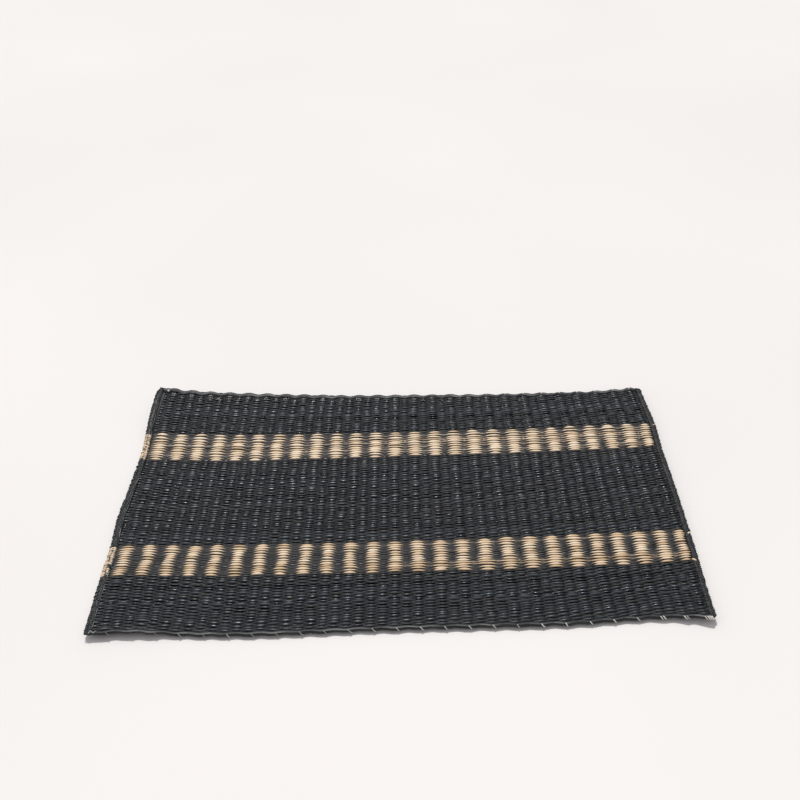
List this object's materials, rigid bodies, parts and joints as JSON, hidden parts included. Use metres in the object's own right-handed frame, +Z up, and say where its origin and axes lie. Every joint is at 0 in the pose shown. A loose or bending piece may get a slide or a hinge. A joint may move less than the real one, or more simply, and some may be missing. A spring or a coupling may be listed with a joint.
{
  "type": "woven placemat",
  "caption": "Rectangular place mat of ribbed woven reed, black-dyed with bands of natural blocks across it, lying on a table with lifted corners.",
  "frame": {"origin": "on the table, under the middle of the outline's box", "axes": "+X along the reeds to the right, +Y along the warp strings to the back edge, +Z up"},
  "size_m": [0.453, 0.294, 0.0183],
  "materials": {
    "dyed_reed": "satin",
    "natural_reed": "satin",
    "string": "matte"
  },
  "bodies": {
    "root": {"woven_panel": "dyed_reed"}
  },
  "joints": []
}
